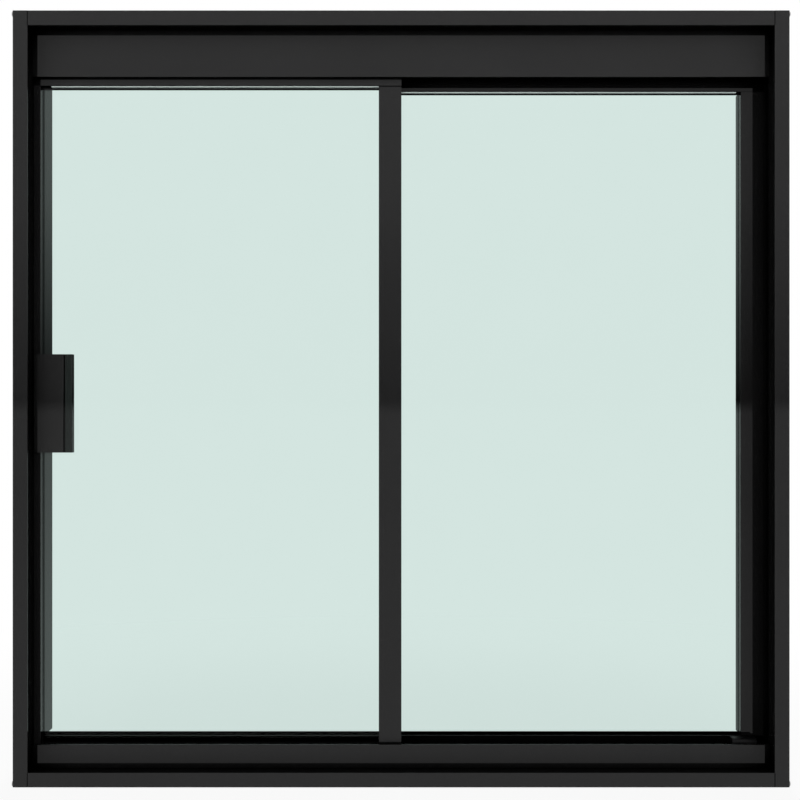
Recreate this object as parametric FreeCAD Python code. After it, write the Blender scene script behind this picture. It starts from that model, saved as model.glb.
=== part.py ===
import FreeCAD, Part
import math
import os

# Horizontal sliding window: an aluminium box frame with a sliding sash on the left, in the room-side
# track, and a fixed light on the right, in the track behind it.
# Millimetres. X runs to the right, Y to the outside, Z up. The front (room side) faces -Y.
# The origin is the centre of the underside of the sill.

# Overall size
FRAME_W = 1000.0
FRAME_H = 1000.0
FRAME_D = 110.0

# Outer frame
FACE_W = 19.0                # width of the front face of a jamb
HEAD_FACE = 19.0             # height of the front face of the head
SILL_FACE = 18.5             # height of the front face of the sill
RECESS = 28.0                # from the front of the frame back to the fascia and the upstand
FRAME_WALL = 1.5
WEB = 2.0                    # thickness of jamb webs, track bases and track legs
BASE_H = 8.0                 # height of the hollow base behind the front box of head and sill
SEAM = 0.3                   # at each butt joint of head and sill with the jambs
EDGE_R = 0.4                 # rounding along the edges of the profiles that show
PORT_R = 3.2                 # screw ports in the front boxes of head and sill, for the jamb screws
PORT_BORE = 1.9
PORT_SLOT = 1.6

# Tracks, as depths behind the front of the frame
SASH_SETBACK = 37.0          # front face of the sliding sash
SASH_THICK = 22.0
LIGHT_SETBACK = 64.0         # front face of the fixed light
TRACK_GAP = 2.0              # from the back of the sash to the leg between the tracks
POCKET_GAP = 2.0             # from the front of the sash to the jamb box
LIGHT_GAP = 1.0              # behind the fixed light
FASCIA_DROP = 60.7           # height of the fascia below the front face of the head
UPSTAND_RISE = 30.2          # height of the upstand above the front face of the sill
HEAD_LEG_DROP = 65.0         # inner legs of the head, below the base of the track
SILL_LEG_RISE = 44.0         # inner legs of the sill, above the base of the track
RIB_W = 3.0
RIB_H = 8.0                  # running rib of the sill, from its base to the crown
RIB_PLAY = 3.0               # above the crown, in the notches of the stiles

# Grooves for the pile seals, at the edges of the fascia and the upstand
HOLDER_H = 7.0
HOLDER_D = 3.2
HOLDER_WALL = 1.0
HOLDER_LIP = 1.2             # how far each lip closes the mouth of the groove
SEAL_FIT = 0.2               # from a seal to the walls of its groove
SEAL_GAP = 0.3               # from a seal or guide to what runs past it

# Sash and fixed light
WALL = 1.5
LOCK_STILE_FACE = 8.4        # what shows of the lock stile beside the jamb
POCKET_PLAY = 7.0            # from the closed sash to the web of the jamb
MEETING_W = 29.6
MEETING_RIGHT = 0.4          # right edge of the closed sash, beyond the middle
SASH_RAIL_SHOW = 9.9         # what shows of the top rail of the sash below the fascia
LIGHT_RAIL_SHOW = 12.3       # the same on the fixed light
TOP_PLAY = 12.0              # lifting room from the top rails to the base of the head track
FOOT_PLAY = 4.0              # from the base of the sill track to the foot of the sash
SASH_FOOT_RAIL = 33.5        # height of the bottom rail of the sash
LIGHT_FOOT_RAIL = 40.0
LIGHT_STILE_FACE = 30.0      # what shows of the jamb stile of the fixed light
LIGHT_MEETING_W = 29.0
REAR_LIP = 10.0              # lip along the back of the jamb stile of the fixed light

# Glazing
GLASS_T = 5.0
GLASS_SETBACK = 13.0         # from the front of a sash to its glass
POCKET = 10.0                # depth of the glazing pocket
GLASS_EDGE = 3.0             # from the bottom of the pocket to the edge of the glass
GASKET_T = 2.5
GASKET_LIP = 0.2             # how far a gasket stands out of its pocket
GASKET_BITE = 6.0            # how far it reaches into the pocket
BLOCK_L = 80.0               # setting blocks under the glass

# Rollers
WHEEL_R = 7.2                # at the bottom of the groove
FLANGE_R = 8.7
WHEEL_W = 8.0
GROOVE_W = 3.6
HUB_R = 4.0
HUB_STEP = 1.2               # recess round the hub, in each side of a wheel
RUN_GAP = 0.3                # between a wheel and the crown of the rib
AXLE_R = 2.0
AXLE_FIT = 0.05
HOUSING_L = 60.0
HOUSING_WALL = 1.5
HOUSING_W = 13.0
ROLLER_INSET = 55.0          # from the end of the bottom rail to the middle of a roller
ROLLER_SLOT = 16.0           # width of the slot along the underside of the bottom rail

# Handle and latch
HANDLE_W = 50.6
HANDLE_H = 128.4
HANDLE_PROUD = 9.0
HANDLE_Z = 430.0             # lower end of the handle
HANDLE_OFFSET = 1.0          # from the visible edge of the stile to the handle
HANDLE_WALL = 2.5
HANDLE_R = 0.8
GRIP_W = 9.4
GRIP_GAP = 1.8               # shadow groove between plate and grip
GRIP_DEPTH = 4.0             # how far the grip turns back behind the face of the sash
GRIP_WALL = 2.5
SCREW_R = 1.6
SCREW_INSET = 12.0           # from the ends of the handle to its screws
SCREW_HEAD_R = 2.6
SCREW_HEAD_T = 1.2
BOLT_H = 30.0
BOLT_L = 13.0                # latch bolt, flush with the back of the lock stile
BOLT_FIT = 0.3
KEEPER_W = 13.0
KEEPER_H = 70.0
KEEPER_T = 1.5
KEEPER_ROOM = 2.0            # round the bolt, in the slot of the keeper

# Interlock between the meeting stiles
FIN_T = 1.2
FIN_LIP = 6.0
FIN_PLAY = 0.6               # from each lip to the other fin and to the stile before it
SASH_FIN_X = -8.0
LIGHT_FIN_X = -18.0
FIN_END = 2.0                # from the ends of the fins to the legs and rails

# Guides, stop, drains and fixings
GUIDE_L = 40.0
GUIDE_H = 6.0
GUIDE_INSET = 45.0
STOP_INSET = 46.0            # from the jamb to the far side of the stop
STOP_L = 32.0
STOP_W = 16.0
STOP_H = 44.0
STOP_NOSE = 5.0              # rounding of its upper edge on the room side
FIX_R = 3.25
FIX_INSET = 200.0            # from the ends of the jamb to its fixing holes
DRAIN_L = 30.0
DRAIN_H = 4.0
DRAIN_INSET = 181.0          # from the jamb to the middle of a drain slot
COVER_T = 2.0
COVER_RIM = 4.0

# Derived places
FRONT = -FRAME_D / 2
BACK = FRAME_D / 2
HALF = FRAME_W / 2
REVEAL = HALF - FACE_W
RECESS_Y = FRONT + RECESS
SASH_Y0 = FRONT + SASH_SETBACK
SASH_Y1 = SASH_Y0 + SASH_THICK
LIGHT_Y0 = FRONT + LIGHT_SETBACK
LIGHT_Y1 = LIGHT_Y0 + SASH_THICK
MID_Y0 = SASH_Y1 + TRACK_GAP
MID_Y1 = MID_Y0 + WEB
REAR_Y0 = LIGHT_Y1 + LIGHT_GAP
REAR_Y1 = REAR_Y0 + WEB
BOX_Y = SASH_Y0 - POCKET_GAP
TRACK_MID = (SASH_Y0 + SASH_Y1) / 2
HEAD_Z = FRAME_H - HEAD_FACE
SILL_BASE_TOP = BASE_H + WEB
HEAD_BASE_LOW = FRAME_H - BASE_H - WEB
FASCIA_Z = HEAD_Z - FASCIA_DROP
UPSTAND_Z = SILL_FACE + UPSTAND_RISE
LEG_LOW = SILL_BASE_TOP + SILL_LEG_RISE
LEG_HIGH = HEAD_BASE_LOW - HEAD_LEG_DROP
RIB_Z = SILL_BASE_TOP + RIB_H
WEB_X = HALF - WEB
LOCK_X0 = -WEB_X + POCKET_PLAY
LOCK_X1 = -REVEAL + LOCK_STILE_FACE
MEET_X0 = MEETING_RIGHT - MEETING_W
LIGHT_X0 = -LIGHT_MEETING_W
LIGHT_X1 = REVEAL - LIGHT_STILE_FACE
SASH_RAIL_Z = FASCIA_Z - SASH_RAIL_SHOW
LIGHT_RAIL_Z = FASCIA_Z - LIGHT_RAIL_SHOW
TOP_Z = HEAD_BASE_LOW - TOP_PLAY
SASH_LOW_Z = SILL_BASE_TOP + FOOT_PLAY
SASH_FOOT_Z = SASH_LOW_Z + SASH_FOOT_RAIL
LIGHT_FOOT_Z = SILL_BASE_TOP + LIGHT_FOOT_RAIL
LATCH_Z = HANDLE_Z + HANDLE_H / 2
BOLT_Y0 = SASH_Y0 + WALL + BOLT_FIT
BOLT_Y1 = SASH_Y0 + GLASS_SETBACK - GASKET_T - WALL - BOLT_FIT
BOLT_MID = (BOLT_Y0 + BOLT_Y1) / 2
DRAINS = (-REVEAL + DRAIN_INSET, REVEAL - DRAIN_INSET)
MEMBER_EDGES = (0, 1, 6, 7)  # the outer corners of a glazing profile


def vec(x, y, z):
    return FreeCAD.Vector(x, y, z)


def rounded_face(points, corners, radius):
    """A face on these points; the listed corners, all of them square, are rounded."""
    edges = []
    last = None
    count = len(points)
    for i in range(count + 1):
        here = points[i % count]
        start = middle = end = here
        if i % count in corners:
            back = (points[i - 1] - here if i % count else points[-1] - here).normalize()
            ahead = (points[(i + 1) % count] - here).normalize()
            start = here + back * radius
            end = here + ahead * radius
            middle = here + (back + ahead) * (radius * (1 - math.sqrt(0.5)))
        if last is not None:
            edges.append(Part.makeLine(last, start))
        if i < count and i in corners:
            edges.append(Part.Arc(start, middle, end).toShape())
        last = end
    return Part.Face(Part.Wire(edges))


def along_x(profile, x0, x1, corners=(), radius=EDGE_R):
    """A profile of (y, z) points, run from x0 to x1."""
    return rounded_face([vec(x0, y, z) for y, z in profile], corners, radius).extrude(vec(x1 - x0, 0, 0))


def along_z(profile, z0, z1, corners=(), radius=EDGE_R):
    """A profile of (x, y) points, run from z0 to z1."""
    return rounded_face([vec(x, y, z0) for x, y in profile], corners, radius).extrude(vec(0, 0, z1 - z0))


def box(x0, x1, y0, y1, z0, z1):
    return Part.makeBox(x1 - x0, y1 - y0, z1 - z0, vec(x0, y0, z0))


def inset(points, wall):
    """The line that lies one wall inside an outline of square corners."""
    area = sum(a[0] * b[1] - b[0] * a[1] for a, b in zip(points, points[1:] + points[:1]))
    turn = math.copysign(1, area)
    inner = []
    for before, here, after in zip(points[-1:] + points[:-1], points, points[1:] + points[:1]):
        shift = [0.0, 0.0]
        for a, b in ((before, here), (here, after)):
            length = math.hypot(b[0] - a[0], b[1] - a[1])
            shift[0] -= turn * wall * (b[1] - a[1]) / length
            shift[1] += turn * wall * (b[0] - a[0]) / length
        inner.append((here[0] + shift[0], here[1] + shift[1]))
    return inner


def save(name, shape):
    shape.exportStep("parts/" + name + ".step")


def glazing_profile(width, y0):
    """Section of a stile or rail across its width, with the pocket for the glass at the far side."""
    y1 = y0 + SASH_THICK
    pocket_y0 = y0 + GLASS_SETBACK - GASKET_T
    pocket_y1 = y0 + GLASS_SETBACK + GLASS_T + GASKET_T
    floor = width - POCKET
    outer = [(0, y0), (width, y0), (width, pocket_y0), (floor, pocket_y0),
             (floor, pocket_y1), (width, pocket_y1), (width, y1), (0, y1)]
    chamber = [(0, y0), (width, y0), (width, pocket_y0), (floor, pocket_y0), (floor, y1), (0, y1)]
    return outer, inset(chamber, WALL)


def member_z(x_back, x_glass, y0, z0, z1):
    """A stile: its closed back stands at x_back and its pocket opens at x_glass."""
    way = math.copysign(1, x_glass - x_back)
    outer, chamber = glazing_profile(abs(x_glass - x_back), y0)
    solid = along_z([(x_back + way * a, y) for a, y in outer], z0, z1, MEMBER_EDGES)
    return solid.cut(along_z([(x_back + way * a, y) for a, y in chamber], z0 - 1, z1 + 1))


def member_x(z_back, z_glass, y0, x0, x1):
    """A rail: its closed back lies at z_back and its pocket opens at z_glass."""
    way = math.copysign(1, z_glass - z_back)
    outer, chamber = glazing_profile(abs(z_glass - z_back), y0)
    solid = along_x([(y, z_back + way * a) for a, y in outer], x0, x1, MEMBER_EDGES)
    return solid.cut(along_x([(y, z_back + way * a) for a, y in chamber], x0 - 1, x1 + 1))


def jamb(side):
    """A jamb at side -1 (left) or +1 (right): front box, web and legs that line up with the tracks."""
    outline = [(0, FRONT), (FACE_W, FRONT), (FACE_W, BOX_Y), (WEB, BOX_Y)]
    for y0, y1 in ((MID_Y0, MID_Y1), (REAR_Y0, REAR_Y1)):
        outline += [(WEB, y0), (FACE_W, y0), (FACE_W, y1), (WEB, y1)]
    outline += [(WEB, BACK - WEB), (FACE_W, BACK - WEB), (FACE_W, BACK), (0, BACK)]
    rounded = (0, 1, 2, len(outline) - 2, len(outline) - 1)
    chamber = inset([(0, FRONT), (FACE_W, FRONT), (FACE_W, BOX_Y), (0, BOX_Y)], FRAME_WALL)
    solid = along_z([(side * (HALF - u), y) for u, y in outline], 0, FRAME_H, rounded)
    solid = solid.cut(along_z([(side * (HALF - u), y) for u, y in chamber], -1, FRAME_H + 1))
    for z in (FIX_INSET, FRAME_H - FIX_INSET):
        start = vec(side * (HALF + 1), TRACK_MID, z)
        solid = solid.cut(Part.makeCylinder(FIX_R, WEB + 2, start, vec(-side, 0, 0)))
    return solid


def screw_port(end, y, z, mouth):
    """Round port from -end to end with a slot along its length; mouth is +1 where the slot opens upward."""
    ring = Part.makeCylinder(PORT_R, 2 * end, vec(-end, y, z), vec(1, 0, 0))
    bore = Part.makeCylinder(PORT_BORE, 2 * end, vec(-end, y, z), vec(1, 0, 0))
    half = PORT_SLOT / 2
    low, high = sorted((z, z + mouth * (PORT_R + 1)))
    return ring.cut(bore).cut(box(-end, end, y - half, y + half, low, high))


def box_member(z_out, z_face):
    """Head or sill of the box frame: a front box with two screw ports and a low hollow base behind it."""
    end = REVEAL - SEAM
    way = math.copysign(1, z_face - z_out)
    outline = [(FRONT, z_out), (BACK, z_out), (BACK, z_out + way * BASE_H),
               (RECESS_Y, z_out + way * BASE_H), (RECESS_Y, z_face), (FRONT, z_face)]
    solid = along_x(outline, -end, end, (0, 1, 5))
    solid = solid.cut(along_x(inset(outline, FRAME_WALL), -REVEAL, REVEAL))
    bed = PORT_R - FRAME_WALL / 2
    z = z_out + way * (FRAME_WALL + bed)
    ports = [screw_port(end, y, z, way) for y in (FRONT + FRAME_WALL + bed, RECESS_Y - FRAME_WALL - bed)]
    return solid.fuse(ports).removeSplitter()


def track_profile(z_base, way, edge_z, leg_z):
    """Base plate with an outer leg at each side and two inner legs; way is +1 for the sill.
    The front leg has a groove for a pile seal at its free edge."""
    z_in = z_base + way * WEB
    y = RECESS_Y + WEB
    deep = y + HOLDER_D
    lip = deep - HOLDER_WALL
    foot = edge_z - way * HOLDER_H
    near = edge_z - way * HOLDER_WALL
    far = foot + way * HOLDER_WALL
    points = [(RECESS_Y, z_base), (RECESS_Y, edge_z), (deep, edge_z), (deep, near - way * HOLDER_LIP),
              (lip, near - way * HOLDER_LIP), (lip, near), (y, near), (y, far), (lip, far),
              (lip, far + way * HOLDER_LIP), (deep, far + way * HOLDER_LIP), (deep, foot), (y, foot),
              (y, z_in)]
    for y0, y1 in ((MID_Y0, MID_Y1), (REAR_Y0, REAR_Y1)):
        points += [(y0, z_in), (y0, leg_z), (y1, leg_z), (y1, z_in)]
    points += [(BACK - WEB, z_in), (BACK - WEB, edge_z), (BACK, edge_z), (BACK, z_base)]
    return points


def head_track():
    return along_x(track_profile(FRAME_H - BASE_H, -1, FASCIA_Z, LEG_HIGH), -REVEAL, REVEAL, (1,))


def sill_track():
    solid = along_x(track_profile(BASE_H, 1, UPSTAND_Z, LEG_LOW), -REVEAL, REVEAL, (1,))
    crown_r = RIB_W / 2
    rib = box(-REVEAL, REVEAL, TRACK_MID - crown_r, TRACK_MID + crown_r, SILL_BASE_TOP, RIB_Z - crown_r)
    crown = Part.makeCylinder(crown_r, 2 * REVEAL, vec(-REVEAL, TRACK_MID, RIB_Z - crown_r), vec(1, 0, 0))
    solid = solid.fuse([rib, crown]).removeSplitter()
    half = DRAIN_L / 2
    drains = [box(x - half, x + half, MID_Y0 - 1, BACK + 1, SILL_BASE_TOP, SILL_BASE_TOP + DRAIN_H)
              for x in DRAINS]
    return solid.cut(drains)


def jamb_liner():
    """Closes the empty light channel of the left jamb, flush with the inner edge of the sash."""
    edge = -REVEAL + LOCK_STILE_FACE
    over = -REVEAL + SEAL_GAP
    rear = BACK - WEB - LIGHT_GAP
    low = LEG_LOW + SEAL_GAP
    outline = [(-WEB_X, LIGHT_Y0), (over, LIGHT_Y0), (over, MID_Y0), (edge, MID_Y0), (edge, rear),
               (over, rear), (over, LIGHT_Y1), (-WEB_X, LIGHT_Y1)]
    solid = along_z(outline, low, FASCIA_Z, (3, 4))
    return solid.cut(along_z(inset(outline, WALL), low - 1, FASCIA_Z + 1))


def pane(x0, x1, z0, z1, y0):
    """Glass for a sight opening x0..x1, z0..z1; it stands in the pockets by their depth less the edge."""
    grip = POCKET - GLASS_EDGE
    front = y0 + GLASS_SETBACK
    return box(x0 - grip, x1 + grip, front, front + GLASS_T, z0 - grip, z1 + grip)


def gaskets(x0, x1, z0, z1, y):
    """Four strips round the sight opening, from inside the pocket to a lip on the glass."""
    outer = box(x0 - GASKET_BITE, x1 + GASKET_BITE, y, y + GASKET_T, z0 - GASKET_BITE, z1 + GASKET_BITE)
    return outer.cut(box(x0 + GASKET_LIP, x1 - GASKET_LIP, y - 1, y + GASKET_T + 1,
                         z0 + GASKET_LIP, z1 - GASKET_LIP))


def setting_blocks(x0, x1, z0, y0):
    z_floor = z0 - POCKET
    front = y0 + GLASS_SETBACK
    quarter = (x1 - x0) / 4
    return Part.makeCompound([
        box(x - BLOCK_L / 2, x + BLOCK_L / 2, front, front + GLASS_T, z_floor, z_floor + GLASS_EDGE)
        for x in (x0 + quarter, x1 - quarter)])


def rib_slot(x0, x1, top):
    """Room for the running rib along the underside of the sash."""
    half = ROLLER_SLOT / 2
    return box(x0 - 1, x1 + 1, TRACK_MID - half, TRACK_MID + half, SASH_LOW_Z - 1, top)


def sash_stile(x_back, x_glass):
    stile = member_z(x_back, x_glass, SASH_Y0, SASH_LOW_Z, SASH_RAIL_Z)
    return stile.cut(rib_slot(min(x_back, x_glass), max(x_back, x_glass), RIB_Z + RIB_PLAY))


def latch_box(x0, x1, room):
    """The space of the latch bolt from x0 to x1, widened by room on each side."""
    half = BOLT_H / 2 + room
    return box(x0, x1, BOLT_Y0 - room, BOLT_Y1 + room, LATCH_Z - half, LATCH_Z + half)


def lock_stile():
    """The stile that carries the handle: screw holes in its face and a slot for the bolt in its back."""
    stile = sash_stile(LOCK_X0, LOCK_X1).cut(latch_box(LOCK_X0 - 1, LOCK_X0 + WALL + 1, BOLT_FIT))
    return stile.cut([Part.makeCylinder(SCREW_R, WALL + 2, vec(x, SASH_Y0 - 1, z), vec(0, 1, 0))
                      for x, z in screw_places()])


def sash_bottom_rail():
    rail = member_x(SASH_LOW_Z, SASH_FOOT_Z, SASH_Y0, LOCK_X1, MEET_X0)
    return rail.cut(rib_slot(LOCK_X1, MEET_X0, SASH_LOW_Z + WALL + RUN_GAP))


def roller(x):
    """Housing, grooved wheel and axle of one roller, centred at x."""
    z = RIB_Z + RUN_GAP + WHEEL_R
    top = SASH_FOOT_Z - POCKET - WALL
    half = HOUSING_W / 2
    inner = half - HOUSING_WALL
    profile = [(TRACK_MID - half, SASH_LOW_Z), (TRACK_MID - half, top), (TRACK_MID + half, top),
               (TRACK_MID + half, SASH_LOW_Z), (TRACK_MID + inner, SASH_LOW_Z),
               (TRACK_MID + inner, top - HOUSING_WALL), (TRACK_MID - inner, top - HOUSING_WALL),
               (TRACK_MID - inner, SASH_LOW_Z)]
    housing = along_x(profile, x - HOUSING_L / 2, x + HOUSING_L / 2, (1, 2))
    housing = housing.cut(Part.makeCylinder(AXLE_R, HOUSING_W + 2, vec(x, TRACK_MID - half - 1, z),
                                            vec(0, 1, 0)))
    w, g = WHEEL_W / 2, GROOVE_W / 2
    slope = (FLANGE_R - WHEEL_R) / 2
    bore = AXLE_R + AXLE_FIT
    rim = WHEEL_R - HUB_STEP
    outline = [(bore, -w), (HUB_R, -w), (HUB_R, HUB_STEP - w), (rim, HUB_STEP - w), (rim, -w), (FLANGE_R, -w),
               (FLANGE_R, -g - slope), (WHEEL_R, -g), (WHEEL_R, g), (FLANGE_R, g + slope), (FLANGE_R, w),
               (rim, w), (rim, w - HUB_STEP), (HUB_R, w - HUB_STEP), (HUB_R, w), (bore, w)]
    wheel = rounded_face([vec(x + r, TRACK_MID + y, z) for r, y in outline], (), 0)
    wheel = wheel.revolve(vec(x, TRACK_MID, z), vec(0, 1, 0), 360)
    axle = Part.makeCylinder(AXLE_R, HOUSING_W, vec(x, TRACK_MID - half, z), vec(0, 1, 0))
    return housing, wheel, axle


def screw_places():
    """Where the handle is screwed on, from inside the lock stile."""
    x = (LOCK_X0 + LOCK_X1 - POCKET) / 2
    x = max(x, -REVEAL + HANDLE_OFFSET + HANDLE_WALL)
    return [(x, z) for z in (HANDLE_Z + SCREW_INSET, HANDLE_Z + HANDLE_H - SCREW_INSET)]


def handle():
    """Pull plate on the lock stile; beside its shadow groove a grip turns back toward the glass."""
    x0 = -REVEAL + HANDLE_OFFSET
    x1 = x0 + HANDLE_W
    split = x1 - GRIP_W
    y0 = SASH_Y0 - HANDLE_PROUD
    z1 = HANDLE_Z + HANDLE_H
    groove_y = y0 + HANDLE_WALL
    plate = along_z([(x0, y0), (split - GRIP_GAP, y0), (split - GRIP_GAP, SASH_Y0), (x0, SASH_Y0)],
                    HANDLE_Z, z1, (0, 1), HANDLE_R)
    plate = plate.cut(box(LOCK_X1 + HANDLE_WALL, split - GRIP_GAP - HANDLE_WALL, groove_y, SASH_Y0 + 1,
                          HANDLE_Z + HANDLE_WALL, z1 - HANDLE_WALL))
    tip = SASH_Y0 + GRIP_DEPTH
    grip = along_z([(split - GRIP_GAP, groove_y), (split, groove_y), (split, y0), (x1, y0), (x1, tip),
                    (x1 - GRIP_WALL, tip), (x1 - GRIP_WALL, groove_y + GRIP_WALL),
                    (split - GRIP_GAP, groove_y + GRIP_WALL)], HANDLE_Z, z1, (2, 3), HANDLE_R)
    return plate, grip


def handle_screws():
    """Pan head screws inside the stile, driven forward into the plate."""
    inside = SASH_Y0 + WALL
    screws = []
    for x, z in screw_places():
        shank = Part.makeCylinder(SCREW_R, HANDLE_PROUD - HANDLE_WALL + WALL,
                                  vec(x, SASH_Y0 - HANDLE_PROUD + HANDLE_WALL, z), vec(0, 1, 0))
        head = Part.makeCone(SCREW_HEAD_R, SCREW_R, SCREW_HEAD_T, vec(x, inside, z), vec(0, 1, 0))
        screws.append(shank.fuse(head))
    return Part.makeCompound(screws)


def latch_keeper():
    """Strike plate on the web of the jamb, with a slot that takes the bolt."""
    half = KEEPER_W / 2
    plate = box(-WEB_X, -WEB_X + KEEPER_T, BOLT_MID - half, BOLT_MID + half,
                LATCH_Z - KEEPER_H / 2, LATCH_Z + KEEPER_H / 2)
    return plate.cut(latch_box(-WEB_X - 1, -WEB_X + KEEPER_T + 1, KEEPER_ROOM))


def fin(x, y_foot, y_lip, way, z0, z1):
    """A fin that stands on a meeting stile at y_foot and turns at y_lip, to the side given by way."""
    back = math.copysign(1, y_lip - y_foot)
    profile = [(x, y_foot), (x, y_lip), (x + way * (FIN_T + FIN_LIP), y_lip),
               (x + way * (FIN_T + FIN_LIP), y_lip - back * FIN_T), (x + way * FIN_T, y_lip - back * FIN_T),
               (x + way * FIN_T, y_foot)]
    return along_z(profile, z0, z1)


def interlocks():
    """Fins behind the sash and before the fixed light, whose lips pass behind each other."""
    z0 = max(LEG_LOW, LIGHT_FOOT_Z) + FIN_END
    z1 = min(LEG_HIGH, SASH_RAIL_Z, LIGHT_RAIL_Z) - FIN_END
    light_lip = SASH_Y1 + FIN_PLAY
    sash_lip = light_lip + 2 * FIN_T + FIN_PLAY
    return (fin(SASH_FIN_X + FIN_T, SASH_Y1, sash_lip, -1, z0, z1),
            fin(LIGHT_FIN_X, LIGHT_Y0, light_lip, 1, z0, z1))


def pile_seal(edge_z, way):
    """Backing strip in its groove and the pile that stands out of the mouth; way is +1 on the sill."""
    y = RECESS_Y + WEB
    low = edge_z - way * (HOLDER_WALL + SEAL_FIT)
    high = edge_z - way * (HOLDER_H - HOLDER_WALL - SEAL_FIT)
    mouth = HOLDER_LIP
    lip = y + HOLDER_D - HOLDER_WALL - SEAL_FIT
    tip = SASH_Y0 - SEAL_GAP
    profile = [(y, low), (lip, low), (lip, low - way * mouth), (tip, low - way * mouth),
               (tip, high + way * mouth), (lip, high + way * mouth), (lip, high), (y, high)]
    return along_x(profile, -REVEAL, REVEAL)


def guide_blocks():
    """Blocks on the top rail of the sash, which keep it clear of the walls of its channel."""
    half = GUIDE_L / 2
    front = RECESS_Y + WEB + SEAL_GAP
    return Part.makeCompound([
        box(x - half, x + half, front, MID_Y0 - SEAL_GAP, TOP_Z, TOP_Z + GUIDE_H)
        for x in (LOCK_X1 + GUIDE_INSET, MEET_X0 - GUIDE_INSET)])


def sash_stop():
    """Stops the open sash: a block over the running rib, rounded toward the room."""
    half = STOP_W / 2
    z0 = SILL_BASE_TOP
    z1 = z0 + STOP_H
    x0 = REVEAL - STOP_INSET
    profile = [(TRACK_MID - half, z0), (TRACK_MID - half, z1), (TRACK_MID + half, z1), (TRACK_MID + half, z0)]
    block = along_x(profile, x0, x0 + STOP_L, (1,), STOP_NOSE)
    slot = RIB_W / 2
    return block.cut(box(x0 - 1, x0 + STOP_L + 1, TRACK_MID - slot, TRACK_MID + slot, z0 - 1, RIB_Z))


def drain_covers():
    """Hoods over the drain slots in the outer leg of the sill, open below."""
    z0 = SILL_BASE_TOP
    z1 = z0 + DRAIN_H + COVER_RIM
    half = DRAIN_L / 2 + COVER_RIM
    slot = DRAIN_L / 2
    covers = []
    for x in DRAINS:
        hood = along_x([(BACK, z0), (BACK + COVER_T, z0), (BACK + COVER_T, z1), (BACK, z1)],
                       x - half, x + half, (2,), EDGE_R)
        covers.append(hood.cut(box(x - slot, x + slot, BACK - 1, BACK + COVER_T / 2, z0 - 1, z0 + DRAIN_H)))
    return Part.makeCompound(covers)


os.makedirs("parts", exist_ok=True)

# Box frame
save("left_jamb", jamb(-1))
save("right_jamb", jamb(1))
save("head_frame", box_member(FRAME_H, HEAD_Z))
save("sill_frame", box_member(0, SILL_FACE))
save("head_track", head_track())
save("sill_track", sill_track())
save("left_jamb_liner", jamb_liner())

# Fixed light
jamb_stile = member_z(WEB_X, LIGHT_X1, LIGHT_Y0, SILL_BASE_TOP, LIGHT_RAIL_Z)
rear_lip = box(LIGHT_X1, LIGHT_X1 + WALL, LIGHT_Y1 - WALL, LIGHT_Y1 + REAR_LIP,
               LEG_LOW + SEAL_GAP, LIGHT_RAIL_Z)
light_sight = (0, LIGHT_X1, LIGHT_FOOT_Z, LIGHT_RAIL_Z)
save("fixed_jamb_stile", jamb_stile.fuse(rear_lip).removeSplitter())
save("fixed_meeting_stile", member_z(LIGHT_X0, 0, LIGHT_Y0, SILL_BASE_TOP, LIGHT_RAIL_Z))
save("fixed_top_rail", member_x(TOP_Z, LIGHT_RAIL_Z, LIGHT_Y0, LIGHT_X0, REVEAL))
save("fixed_bottom_rail", member_x(SILL_BASE_TOP, LIGHT_FOOT_Z, LIGHT_Y0, 0, LIGHT_X1))
save("fixed_glass", pane(*light_sight, LIGHT_Y0))
save("fixed_front_gasket", gaskets(*light_sight, LIGHT_Y0 + GLASS_SETBACK - GASKET_T))
save("fixed_rear_gasket", gaskets(*light_sight, LIGHT_Y0 + GLASS_SETBACK + GLASS_T))
save("fixed_setting_blocks", setting_blocks(0, LIGHT_X1, LIGHT_FOOT_Z, LIGHT_Y0))

# Sliding sash
sash_sight = (LOCK_X1, MEET_X0, SASH_FOOT_Z, SASH_RAIL_Z)
save("sash_lock_stile", lock_stile())
save("sash_meeting_stile", sash_stile(MEETING_RIGHT, MEET_X0))
save("sash_top_rail", member_x(TOP_Z, SASH_RAIL_Z, SASH_Y0, LOCK_X0, MEETING_RIGHT))
save("sash_bottom_rail", sash_bottom_rail())
save("sash_glass", pane(*sash_sight, SASH_Y0))
save("sash_front_gasket", gaskets(*sash_sight, SASH_Y0 + GLASS_SETBACK - GASKET_T))
save("sash_rear_gasket", gaskets(*sash_sight, SASH_Y0 + GLASS_SETBACK + GLASS_T))
save("sash_setting_blocks", setting_blocks(LOCK_X1, MEET_X0, SASH_FOOT_Z, SASH_Y0))
for name, x in (("left", LOCK_X1 + ROLLER_INSET), ("right", MEET_X0 - ROLLER_INSET)):
    housing, wheel, axle = roller(x)
    save(name + "_roller_housing", housing)
    save(name + "_roller_wheel", wheel)
    save(name + "_roller_axle", axle)
save("top_guide_blocks", guide_blocks())

# Handle and latch
screws = handle_screws()
plate, grip = handle()
save("handle_plate", plate.cut(screws))
save("handle_grip", grip)
save("handle_screws", screws)
save("latch_bolt", latch_box(LOCK_X0, LOCK_X0 + BOLT_L, 0))
save("latch_keeper", latch_keeper())

# Interlock, seals, stop and drain covers
sash_fin, light_fin = interlocks()
save("sash_interlock", sash_fin)
save("fixed_interlock", light_fin)
save("head_brush_seal", pile_seal(FASCIA_Z, -1))
save("sill_brush_seal", pile_seal(UPSTAND_Z, 1))
save("sash_stop", sash_stop())
save("drain_covers", drain_covers())
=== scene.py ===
import math

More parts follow.
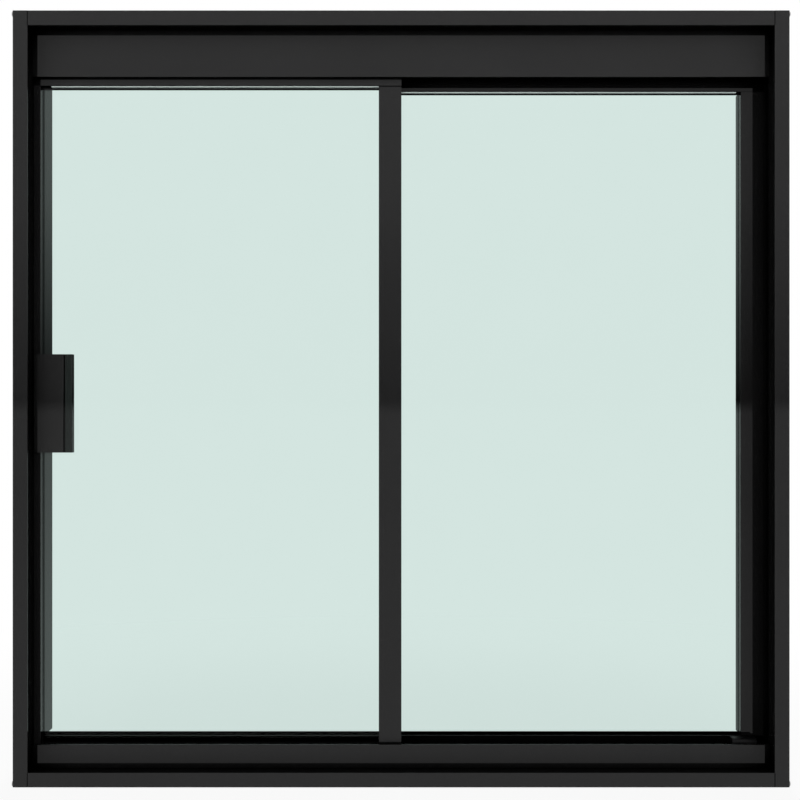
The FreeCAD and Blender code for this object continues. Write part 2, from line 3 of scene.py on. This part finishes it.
import bmesh
import bpy
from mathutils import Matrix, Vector


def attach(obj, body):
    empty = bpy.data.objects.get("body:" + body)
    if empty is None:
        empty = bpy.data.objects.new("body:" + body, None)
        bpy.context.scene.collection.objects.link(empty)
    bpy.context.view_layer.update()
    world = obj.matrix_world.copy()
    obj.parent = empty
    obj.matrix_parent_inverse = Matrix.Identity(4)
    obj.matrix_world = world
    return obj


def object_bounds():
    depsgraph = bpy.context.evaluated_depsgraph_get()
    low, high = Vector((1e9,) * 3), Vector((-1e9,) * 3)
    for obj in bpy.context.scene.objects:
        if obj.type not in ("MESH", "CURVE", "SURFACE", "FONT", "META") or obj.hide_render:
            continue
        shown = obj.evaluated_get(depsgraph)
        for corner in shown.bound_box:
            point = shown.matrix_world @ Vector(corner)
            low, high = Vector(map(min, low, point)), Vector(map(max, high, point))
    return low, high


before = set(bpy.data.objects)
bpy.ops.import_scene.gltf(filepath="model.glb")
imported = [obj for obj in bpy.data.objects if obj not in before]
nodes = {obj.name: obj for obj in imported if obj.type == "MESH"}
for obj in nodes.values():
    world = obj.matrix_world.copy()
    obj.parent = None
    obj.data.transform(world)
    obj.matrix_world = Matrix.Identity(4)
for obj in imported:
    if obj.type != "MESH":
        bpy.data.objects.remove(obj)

cad_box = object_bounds()
FRONT_Y = cad_box[0][1]
BACK_Y = cad_box[1][1]
HALF_WIDTH = cad_box[1][0]


# Camera and view

CAMERA_AWAY = 2.055             # from the middle of the frame to the camera
CAMERA_HEIGHT = 0.489

scene = bpy.context.scene
scene.view_settings.view_transform = "Standard"

cam_data = bpy.data.cameras.new("camera")
cam_data.sensor_width = 36.0
cam_data.lens = 69.93
cam_data.shift_x = -0.0014
cam_data.shift_y = 0.00925
camera = bpy.data.objects.new("camera", cam_data)
scene.collection.objects.link(camera)
camera.location = (0.0, -CAMERA_AWAY, CAMERA_HEIGHT)
camera.rotation_euler = (math.radians(90), 0, 0)
scene.camera = camera


# Node helpers

def grey(level):
    return (level, level, level)


class Tree:
    """A short way to write shader nodes."""

    def __init__(self, owner):
        owner.use_nodes = True
        self.tree = owner.node_tree
        self.tree.nodes.clear()

    def add(self, kind, **values):
        node = self.tree.nodes.new(kind)
        for key, value in values.items():
            setattr(node, key, value)
        return node

    def join(self, source, target):
        self.tree.links.new(source, target)

    def feed(self, value, socket):
        if isinstance(value, bpy.types.NodeSocket):
            self.join(value, socket)
        else:
            socket.default_value = value

    def math(self, operation, a, b=None):
        node = self.add("ShaderNodeMath", operation=operation)
        self.feed(a, node.inputs[0])
        if b is not None:
            self.feed(b, node.inputs[1])
        return node.outputs[0]

    def product(self, a, b):
        return self.math("MULTIPLY", a, b)

    def remap(self, value, from_lo, from_hi, to_lo, to_hi, smooth=False):
        node = self.add("ShaderNodeMapRange")
        node.interpolation_type = "SMOOTHSTEP" if smooth else "LINEAR"
        self.feed(value, node.inputs["Value"])
        for key, number in (("From Min", from_lo), ("From Max", from_hi), ("To Min", to_lo), ("To Max", to_hi)):
            node.inputs[key].default_value = number
        return node.outputs["Result"]

    def ramp(self, value, stops):
        node = self.add("ShaderNodeValToRGB")
        while len(node.color_ramp.elements) < len(stops):
            node.color_ramp.elements.new(0.5)
        for element, (place, color) in zip(node.color_ramp.elements, stops):
            element.position = place
            element.color = (*color, 1)
        self.feed(value, node.inputs["Fac"])
        return node.outputs["Color"]

    def multiply(self, a, b):
        """One colour times another."""
        node = self.add("ShaderNodeMix", data_type="RGBA", blend_type="MULTIPLY")
        node.inputs[0].default_value = 1.0
        self.join(a, node.inputs[6])
        self.join(b, node.inputs[7])
        return node.outputs[2]

    def noise(self, vector, scale, detail=2.0, rough=0.5):
        node = self.add("ShaderNodeTexNoise")
        node.inputs["Scale"].default_value = scale
        node.inputs["Detail"].default_value = detail
        node.inputs["Roughness"].default_value = rough
        self.join(vector, node.inputs["Vector"])
        return node.outputs["Fac"]

    def place(self, scale=(1, 1, 1), shift=(0, 0, 0)):
        coord = self.add("ShaderNodeTexCoord")
        mapping = self.add("ShaderNodeMapping")
        mapping.inputs["Scale"].default_value = scale
        mapping.inputs["Location"].default_value = shift
        self.join(coord.outputs["Object"], mapping.inputs["Vector"])
        return mapping.outputs["Vector"]

    def split(self, vector):
        """The X, Y and Z of a vector, by name."""
        node = self.add("ShaderNodeSeparateXYZ")
        self.join(vector, node.inputs[0])
        return node.outputs

    def coloured(self, kind, color, strength=None):
        """A background, emission or diffuse shader with its colour and, where it has one, its strength."""
        node = self.add(kind)
        self.feed(color if isinstance(color, bpy.types.NodeSocket) else (*color, 1), node.inputs["Color"])
        if strength is not None:
            self.feed(strength, node.inputs["Strength"])
        return node.outputs[0]

    def blend(self, share, a, b):
        """Shader a where share is 0 and shader b where it is 1."""
        node = self.add("ShaderNodeMixShader")
        for value, socket in zip((share, a, b), node.inputs):
            self.join(value, socket)
        return node.outputs[0]


# World: white where the camera looks, a pale studio with a darker band at the horizon in reflections

def looked_at(t, path):
    """1 for what the camera sees, straight or through glass, and 0 for light that has bounced first."""
    clear = t.math("MAXIMUM", path.outputs["Is Camera Ray"], path.outputs["Is Transmission Ray"])
    bounced = t.math("ADD", path.outputs["Glossy Depth"], path.outputs["Diffuse Depth"])
    return t.product(clear, t.math("LESS_THAN", bounced, 0.5))


def first_bounce(t, path):
    """1 for light met before any mirror image, and 0 inside one, so that a piece mirrored in another stays dark."""
    return t.math("LESS_THAN", path.outputs["Glossy Depth"], 0.5)


def mirrored(t, path):
    """1 for the surround seen in one mirror image, also through glass, and 0 in an image within an image."""
    way = t.math("MAXIMUM", path.outputs["Is Glossy Ray"], path.outputs["Is Transmission Ray"])
    once = t.product(t.math("GREATER_THAN", path.outputs["Glossy Depth"], 0.5),
                     t.math("LESS_THAN", path.outputs["Glossy Depth"], 1.5))
    return t.product(t.product(way, once), t.math("LESS_THAN", path.outputs["Diffuse Depth"], 0.5))


# Grey of the surround in mirror images, from 30 degrees below the horizon (0) over it (0.5) to 30 degrees above (1)
SURROUND = [(0.0, 0.42), (0.28, 0.37), (0.37, 0.32), (0.498, 0.275), (0.502, 0.01), (0.543, 0.095), (0.569, 0.16),
            (0.606, 0.255), (0.632, 0.33), (0.66, 0.36), (0.73, 0.42), (0.90, 0.52), (1.0, 0.58)]
SKY_LIGHT = 0.18                # strength of the soft light from all round

# Grey of the floor in mirror images, by the share of FLOOR_REACH from the window
FLOOR_MIRROR = [(0.0, 0.38), (0.02, 0.37), (0.06, 0.345), (0.19, 0.325), (0.5, 0.29), (0.9, 0.275)]
FLOOR_REACH = 10.0
FLOOR_HALF = 14.0
FLOOR_DROP = 0.0006             # below the sill
OUTLINE_INSET = 0.002           # from the outline of the frame to where the floor stops glowing


def make_world():
    world = bpy.data.worlds.new("studio")
    scene.world = world
    t = Tree(world)
    out = t.add("ShaderNodeOutputWorld")
    path = t.add("ShaderNodeLightPath")
    way = t.split(t.add("ShaderNodeTexCoord").outputs["Generated"])
    seen = t.ramp(t.remap(way["Z"], -0.5, 0.5, 0, 1), [(place, grey(level)) for place, level in SURROUND])
    side = t.remap(way["X"], -0.25, 0.25, 1.12, 0.80)
    behind = t.remap(way["Y"], -0.1, 0.1, 0, 1)
    balance = t.math("ADD", 1.0, t.product(behind, t.math("SUBTRACT", side, 1.0)))
    gloss = t.coloured("ShaderNodeBackground", seen, balance)
    soft = t.coloured("ShaderNodeBackground", (0.97, 0.98, 1.0), t.product(first_bounce(t, path), SKY_LIGHT))
    white = t.coloured("ShaderNodeBackground", grey(1), 1.0)
    lit = t.blend(mirrored(t, path), soft, gloss)
    t.join(t.blend(looked_at(t, path), lit, white), out.inputs["Surface"])


def floor_material():
    mat = bpy.data.materials.new("pale_floor")
    t = Tree(mat)
    out = t.add("ShaderNodeOutputMaterial")
    path = t.add("ShaderNodeLightPath")
    spot = t.split(t.place())
    aside, away = t.math("ABSOLUTE", spot["X"]), t.math("ABSOLUTE", spot["Y"])
    plain = t.coloured("ShaderNodeBsdfDiffuse", (0.80, 0.80, 0.79))
    pale = t.coloured("ShaderNodeBsdfDiffuse", grey(1.4))
    white = t.coloured("ShaderNodeEmission", grey(1), 1.0)
    dim = t.coloured("ShaderNodeEmission", t.ramp(t.remap(away, 0, FLOOR_REACH, 0, 1),
                                                  [(place, grey(level)) for place, level in FLOOR_MIRROR]))
    far = t.math("SQRT", t.math("ADD", t.math("POWER", spot["X"], 2.0), t.math("POWER", spot["Y"], 2.0)))
    # Inside the outline of the frame the floor doesn't glow, so it is dark where it shows through the open ends of
    # the jambs
    under = t.product(t.math("LESS_THAN", aside, HALF_WIDTH - OUTLINE_INSET),
                      t.math("LESS_THAN", away, -FRONT_Y - OUTLINE_INSET))
    glow = t.product(t.remap(far, 0.4, 1.6, 0.88, 1.0, smooth=True), t.math("SUBTRACT", 1.0, under))
    shade = t.blend(glow, pale, white)
    lit = t.blend(mirrored(t, path), plain, dim)
    t.join(t.blend(looked_at(t, path), lit, shade), out.inputs["Surface"])
    return mat


def make_floor():
    mesh = bpy.data.meshes.new("floor")
    h = FLOOR_HALF
    mesh.from_pydata([(-h, -h, 0), (h, -h, 0), (h, h, 0), (-h, h, 0)], [], [(0, 1, 2, 3)])
    floor = bpy.data.objects.new("floor", mesh)
    floor.location.z = cad_box[0][2] - FLOOR_DROP
    scene.collection.objects.link(floor)
    mesh.materials.append(floor_material())


def make_lamp(name, place, aim, size, watts):
    data = bpy.data.lights.new(name, "AREA")
    data.shape = "DISK"
    data.size = size
    data.energy = watts
    lamp = bpy.data.objects.new(name, data)
    scene.collection.objects.link(lamp)
    lamp.location = place
    lamp.rotation_euler = (Vector(aim) - Vector(place)).to_track_quat("-Z", "Y").to_euler()
    lamp.visible_glossy = False
    lamp.visible_transmission = False
    t = Tree(data)
    glow = t.coloured("ShaderNodeEmission", grey(1), first_bounce(t, t.add("ShaderNodeLightPath")))
    t.join(glow, t.add("ShaderNodeOutputLight").inputs["Surface"])


make_world()
make_floor()
make_lamp("front", (0.0, -4.0, 1.1), (0, 0, 0.5), 2.4, 168)
make_lamp("rear", (0.4, 4.2, 1.3), (0, 0, 0.5), 2.4, 120)


# Materials

COAT_GRAIN = 0.0000006          # depth of the orange peel
CHANNEL_FRONT = 0.0285          # from the front of the frame to the channels of the tracks
CHANNEL_BACK = 0.0035           # from the back of the drain covers to the channels

# Painted shade: how much of the coat's colour is left by how open the place is: none in a deep corner, all on an
# open face
OPENNESS = [(0.40, 0.0), (0.50, 0.06), (0.60, 0.18), (0.66, 0.32), (0.72, 0.55), (0.84, 0.95), (0.92, 1.0)]


def finish_material(t, **inputs):
    shader = t.add("ShaderNodeBsdfPrincipled")
    out = t.add("ShaderNodeOutputMaterial")
    for key, value in inputs.items():
        t.feed(value, shader.inputs[key.replace("_", " ")])
    t.join(shader.outputs[0], out.inputs["Surface"])


def bumped(t, height, distance, strength=1.0):
    bump = t.add("ShaderNodeBump")
    bump.inputs["Strength"].default_value = strength
    bump.inputs["Distance"].default_value = distance
    t.join(height, bump.inputs["Height"])
    return bump.outputs["Normal"]


def recess(t, least=0.0, reach=0.06):
    """Darkens the coat in corners and recesses, where the light doesn't reach. The front plane stays as it is."""
    shade = t.add("ShaderNodeAmbientOcclusion", samples=6)
    shade.inputs["Distance"].default_value = reach
    front = t.math("LESS_THAN", t.split(t.place())["Y"], FRONT_Y + 0.0004)
    share = t.ramp(shade.outputs["AO"], [(place, grey(level)) for place, level in OPENNESS])
    return t.math("MAXIMUM", t.math("MAXIMUM", share, least), front)


def channel(t):
    """1 inside the running channels of the tracks, where upward faces are dusty and rougher and the coat's colour is
    darkened by painted shade, and 0 on their faces to the room.
    """
    depth = t.split(t.place())["Y"]
    return t.product(t.math("GREATER_THAN", depth, FRONT_Y + CHANNEL_FRONT),
                     t.math("LESS_THAN", depth, BACK_Y - CHANNEL_BACK))


def powder_coat(name, along, shade_share=1.0, least=0.0, seed=0.0):
    """Gloss black powder coat on an extrusion: orange peel, faint die lines along the length, dust in patches,
    painted shade in corners and recesses and, on the tracks, more painted shade in the channels.
    """
    mat = bpy.data.materials.new(name)
    t = Tree(mat)
    fine = t.place(shift=(seed, seed * 0.7, seed * 1.3))
    stretch = (0.6, 90, 90) if along == "x" else (90, 90, 0.6)
    lines = t.noise(t.place(scale=stretch, shift=(seed, seed, seed)), 6.0, 3.0)
    peel = t.noise(fine, 340.0, 2.0)
    patch = t.noise(fine, 9.0, 4.0, 0.6)
    # Painted shade on whole pieces scales the coat's colour here
    base = t.ramp(patch, [(0.3, tuple(c * shade_share for c in (0.0110, 0.0110, 0.0111))),
                          (0.7, tuple(c * shade_share for c in (0.0124, 0.0124, 0.0125)))])
    height = t.math("ADD", t.product(peel, 0.8), t.product(lines, 0.25))
    rough = t.math("ADD", t.remap(patch, 0.3, 0.75, 0.011, 0.018), t.remap(lines, 0.35, 0.7, 0.0, 0.004))
    share = recess(t, least)
    if name.endswith("_track"):
        inside = channel(t)
        facing = t.split(t.add("ShaderNodeNewGeometry").outputs["Normal"])
        dusty = t.product(inside, t.math("GREATER_THAN", facing["Z"], 0.5))
        rough = t.math("ADD", rough, t.product(dusty, 0.5))
        # Painted shade: the coat's colour inside the channels is cut to 30 %
        share = t.product(share, t.math("SUBTRACT", 1.0, t.product(inside, 0.7)))
    finish_material(t, Base_Color=t.multiply(base, share), IOR=1.5, Normal=bumped(t, height, COAT_GRAIN),
                    Roughness=rough)
    return mat


def die_cast(name, tint=(1, 1, 1)):
    mat = bpy.data.materials.new(name)
    t = Tree(mat)
    fine = t.place()
    grain = t.noise(fine, 900.0, 3.0)
    patch = t.noise(fine, 26.0, 3.0)
    base = t.ramp(patch, [(0.3, tuple(0.0120 * c for c in tint)), (0.7, tuple(0.0136 * c for c in tint))])
    finish_material(t, Base_Color=t.multiply(base, recess(t)), IOR=1.5,
                    Roughness=t.remap(patch, 0.3, 0.7, 0.012, 0.02), Normal=bumped(t, grain, COAT_GRAIN))
    return mat


def tinted_glass(name):
    mat = bpy.data.materials.new(name)
    t = Tree(mat)
    fine = t.place()
    wave = t.noise(fine, 3.0, 1.0)
    smear = t.noise(fine, 14.0, 4.0, 0.6)
    tint = t.ramp(smear, [(0.2, (0.660, 0.788, 0.750)), (0.8, (0.668, 0.794, 0.757))])
    finish_material(t, Base_Color=tint, Roughness=t.remap(smear, 0.4, 0.8, 0.0, 0.004), IOR=1.2,
                    Transmission_Weight=1.0, Normal=bumped(t, wave, 0.000004))
    return mat


def rubber(name):
    mat = bpy.data.materials.new(name)
    t = Tree(mat)
    fine = t.place()
    grain = t.noise(fine, 1040.0, 4.0)
    bloom = t.noise(fine, 30.0, 4.0)
    base = t.ramp(bloom, [(0.3, (0.0040, 0.0040, 0.0042)), (0.8, (0.0080, 0.0080, 0.0082))])
    finish_material(t, Base_Color=base, Roughness=t.remap(bloom, 0.3, 0.8, 0.03, 0.08), IOR=1.5,
                    Normal=bumped(t, grain, 0.000002, 0.6))
    return mat


def moulded(name, low, high, rough_low, rough_high, grain_scale=700.0, depth=0.00003, gloss=0.5):
    mat = bpy.data.materials.new(name)
    t = Tree(mat)
    fine = t.place()
    grain = t.noise(fine, grain_scale, 3.0)
    patch = t.noise(fine, 40.0, 3.0)
    finish_material(t, Base_Color=t.ramp(patch, [(0.3, low), (0.7, high)]),
                    Roughness=t.remap(patch, 0.3, 0.7, rough_low, rough_high), IOR=1.5, Specular_IOR_Level=gloss,
                    Normal=bumped(t, grain, depth, 0.7))
    return mat


def zinc_steel(name):
    mat = bpy.data.materials.new(name)
    t = Tree(mat)
    spangle = t.noise(t.place(), 160.0, 2.0)
    brushed = t.noise(t.place(scale=(4, 60, 60)), 30.0, 3.0)
    base = t.ramp(spangle, [(0.3, (0.46, 0.46, 0.45)), (0.7, (0.60, 0.60, 0.585))])
    finish_material(t, Base_Color=base, Metallic=1.0, Roughness=t.remap(brushed, 0.3, 0.7, 0.28, 0.42),
                    Normal=bumped(t, brushed, 0.00001))
    return mat


def pile(name):
    mat = bpy.data.materials.new(name)
    t = Tree(mat)
    fibre = t.noise(t.place(scale=(1, 0.2, 0.2)), 1400.0, 2.0)
    base = t.ramp(fibre, [(0.3, (0.008, 0.008, 0.0085)), (0.7, (0.022, 0.022, 0.023))])
    finish_material(t, Base_Color=base, Roughness=0.85, IOR=1.5, Specular_IOR_Level=0.2,
                    Normal=bumped(t, fibre, 0.0002))
    return mat


# Nodes whose length runs along X, so the die lines do too
LENGTHWISE_X = {"head_frame", "sill_frame", "head_track", "sill_track", "fixed_top_rail", "fixed_bottom_rail",
                "sash_top_rail", "sash_bottom_rail"}
# Share of the coat's colour on the nodes that the photograph shows darker
# Painted shade: the whole coat of these pieces, which sit deeper in the frame, is darkened; the real coat is one
# colour on all pieces
PAINTED_SHADE_SHARE = {"fixed_jamb_stile": 0.62, "fixed_top_rail": 0.38}
# Least share left in the recesses of the nodes that the photograph shows lighter there
LEAST = {"sash_lock_stile": 0.28, "fixed_jamb_stile": 0.30}
SEED_STEP = 1.37                # from the noise of one coat to that of the next

glass = tinted_glass("tinted_glass")
gasket_mat = rubber("gasket_rubber")
black_plastic = moulded("black_plastic", (0.010, 0.010, 0.0105), (0.016, 0.016, 0.0165), 0.30, 0.42)
stop_rubber = moulded("stop_rubber", (0.0020, 0.0020, 0.0021), (0.0036, 0.0036, 0.0037), 0.34, 0.46, 600.0, 0.00001,
                      0.22)
nylon = moulded("white_nylon", (0.66, 0.65, 0.60), (0.74, 0.73, 0.68), 0.32, 0.45, 500.0, 0.00002)
zinc = zinc_steel("zinc_steel")
handle_coat = die_cast("handle_coat")
# Painted reflection: the greenish tint of the grip coat stands for the green glass reflected in the grip
grip_coat = die_cast("grip_coat", (0.88, 1.10, 1.02))
pile_mat = pile("pile")


def material_of(node, seed):
    if node in ("fixed_glass", "sash_glass"):
        return glass
    if "gasket" in node:
        return gasket_mat
    if node == "sash_stop":
        return stop_rubber
    if "setting_blocks" in node or node in ("top_guide_blocks", "drain_covers"):
        return black_plastic
    if "brush" in node:
        return pile_mat
    if "wheel" in node:
        return nylon
    if node in ("handle_screws", "latch_keeper", "latch_bolt") or "axle" in node or "housing" in node:
        return zinc
    if node == "handle_plate":
        return handle_coat
    if node == "handle_grip":
        return grip_coat
    return powder_coat("coat_" + node, "x" if node in LENGTHWISE_X else "z", PAINTED_SHADE_SHARE.get(node, 1.0),
                       LEAST.get(node, 0.0), seed)


for count, (name, obj) in enumerate(nodes.items()):
    mat = material_of(name, count * SEED_STEP)
    for slot in obj.material_slots:
        slot.material = mat
    if not obj.material_slots:
        obj.data.materials.append(mat)


# Broken edges on the rigid pieces: the width of the bevel in metres

EDGES = {"left_jamb": 0.0003, "right_jamb": 0.0003, "head_frame": 0.0003, "sill_frame": 0.0003,
         "head_track": 0.0003, "sill_track": 0.0003, "sash_lock_stile": 0.00025, "sash_meeting_stile": 0.00025,
         "sash_top_rail": 0.00025, "sash_bottom_rail": 0.00025, "fixed_jamb_stile": 0.00025,
         "fixed_meeting_stile": 0.00025, "fixed_top_rail": 0.00025, "fixed_bottom_rail": 0.00025,
         "handle_plate": 0.0005, "handle_grip": 0.0005, "sash_stop": 0.0006, "top_guide_blocks": 0.0008,
         "drain_covers": 0.0005, "left_jamb_liner": 0.0003, "left_roller_housing": 0.0003,
         "right_roller_housing": 0.0003}


def soften(obj, width):
    weld = obj.modifiers.new("weld", "WELD")
    weld.merge_threshold = 0.000004
    bevel = obj.modifiers.new("edge", "BEVEL")
    bevel.width = width
    bevel.segments = 2
    bevel.limit_method = "ANGLE"
    bevel.angle_limit = math.radians(50)
    bevel.harden_normals = False
    bevel.use_clamp_overlap = True


for name, width in EDGES.items():
    soften(nodes[name], width)


# Small pieces beside the CAD nodes

def new_piece(name, mesh_data, material, body):
    mesh = bpy.data.meshes.new(name)
    mesh_data.to_mesh(mesh)
    mesh_data.free()
    piece = bpy.data.objects.new(name, mesh)
    scene.collection.objects.link(piece)
    mesh.materials.append(material)
    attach(piece, body)


def strip(name, x, y, z, material, body, edge=0.0002):
    """A straight strip with broken edges; x, y and z are (from, to) in millimetres."""
    bm = bmesh.new()
    bmesh.ops.create_cube(bm, size=1.0)
    for v in bm.verts:
        v.co = Vector([(a + b) / 2000 + c * (b - a) / 1000 for c, (a, b) in zip(v.co, (x, y, z))])
    bmesh.ops.bevel(bm, geom=bm.edges[:], offset=edge, segments=2, affect="EDGES")
    new_piece(name, bm, material, body)


HEAD_RINGS = [(1.0, 0.0), (1.0, 0.35), (0.93, 0.62), (0.78, 0.85), (0.55, 0.97)]    # shares of radius and height
HEAD_SIDES = 32


def pan_screw(bm, place, axis, radius, height):
    """A pan head with a cross recess, standing on the surface at place; axis points out of it."""
    turn = Vector((0, 0, 1)).rotation_difference(axis).to_matrix()

    def vert(x, y, z):
        return bm.verts.new(Vector(place) + turn @ Vector((x, y, z)))

    def ring_edges(loop):
        return [bm.edges.get((a, b)) for a, b in zip(loop, loop[1:] + loop[:1])]

    def wall(low, high):
        for a, b, c, d in zip(low, low[1:] + low[:1], high[1:] + high[:1], high):
            bm.faces.new((a, b, c, d))

    turns = [math.tau * i / HEAD_SIDES for i in range(HEAD_SIDES)]
    loops = [[vert(r * radius * math.cos(a), r * radius * math.sin(a), h * height) for a in turns]
             for r, h in HEAD_RINGS]
    for low, high in zip(loops, loops[1:]):
        wall(low, high)
    wide, long, deep = 0.13 * radius, 0.42 * radius, height * 0.45
    cross = [(wide, wide), (wide, long), (-wide, long), (-wide, wide), (-long, wide), (-long, -wide), (-wide, -wide),
             (-wide, -long), (wide, -long), (wide, -wide), (long, -wide), (long, wide)]
    rim = [vert(a, b, height) for a, b in cross]
    foot = [vert(a * 0.7, b * 0.7, height - deep) for a, b in cross]
    wall(rim, foot)
    bm.faces.new(foot)
    bmesh.ops.triangle_fill(bm, edges=ring_edges(loops[-1]) + ring_edges(rim), use_beauty=True)
    bmesh.ops.recalc_face_normals(bm, faces=bm.faces[:])


PORT_Y = (-51.05, -30.95)       # screw ports of head and sill, in millimetres
PORT_Z = (3.95, 996.05)
SCREW_R = 0.0036
SCREW_H = 0.0016
JOINT_Y = (-55.05, -54.4)       # joint lines on the front of the frame
SASH_JOINT_Y = (-18.06, -17.4)
SASH_JOINT_Z = (909.1, 910.9)
JOINT_EDGE = 0.00005

sealant = moulded("joint_sealant", (0.0030, 0.0030, 0.0031), (0.0050, 0.0050, 0.0051), 0.5, 0.7, 500.0, 0.00001,
                  0.05)
# Pale greenish strip for the light line along the top of each pane
pale_strip = moulded("pale_glazing_strip", (0.40, 0.455, 0.44), (0.44, 0.50, 0.48), 0.5, 0.65, 500.0, 0.00002)

SIDES = ((-1, "left"), (1, "right"))
for side, name in SIDES:
    bm = bmesh.new()
    for z in PORT_Z:
        for y in PORT_Y:
            pan_screw(bm, (side * HALF_WIDTH, y / 1000, z / 1000), Vector((side, 0, 0)), SCREW_R, SCREW_H)
    new_piece(name + "_jamb_screws", bm, zinc, "frame")

for side, name in SIDES:
    across = sorted((side * 480.5, side * 481.8))
    strip("sill_joint_" + name, across, JOINT_Y, (0.8, 18.2), sealant, "frame", edge=JOINT_EDGE)
    strip("head_joint_" + name, across, JOINT_Y, (981.3, 999.2), sealant, "frame", edge=JOINT_EDGE)

strip("sash_joint_left", (-480.6, -472.7), SASH_JOINT_Y, SASH_JOINT_Z, sealant, "sash", edge=JOINT_EDGE)
strip("sash_joint_right", (-29.1, 0.3), SASH_JOINT_Y, SASH_JOINT_Z, sealant, "sash", edge=JOINT_EDGE)

# A pale strip and a dark gasket lip under the top rail of each pane, for the light line and dark line that the
# photograph shows there
strip("sash_top_pale_strip", (-459.0, -29.4), (-16, -9), (909.3, 910.38), pale_strip, "sash")
strip("sash_top_lip", (-472.3, -29.5), (-7.45, -5.05), (907.1, 910.2), gasket_mat, "sash")
strip("fixed_top_pale_strip", (0.2, 445.0), (10, 16), (906.95, 907.98), pale_strip, "frame")
strip("fixed_top_lip", (0.3, 450.7), (19.55, 21.95), (905.9, 907.8), gasket_mat, "frame")
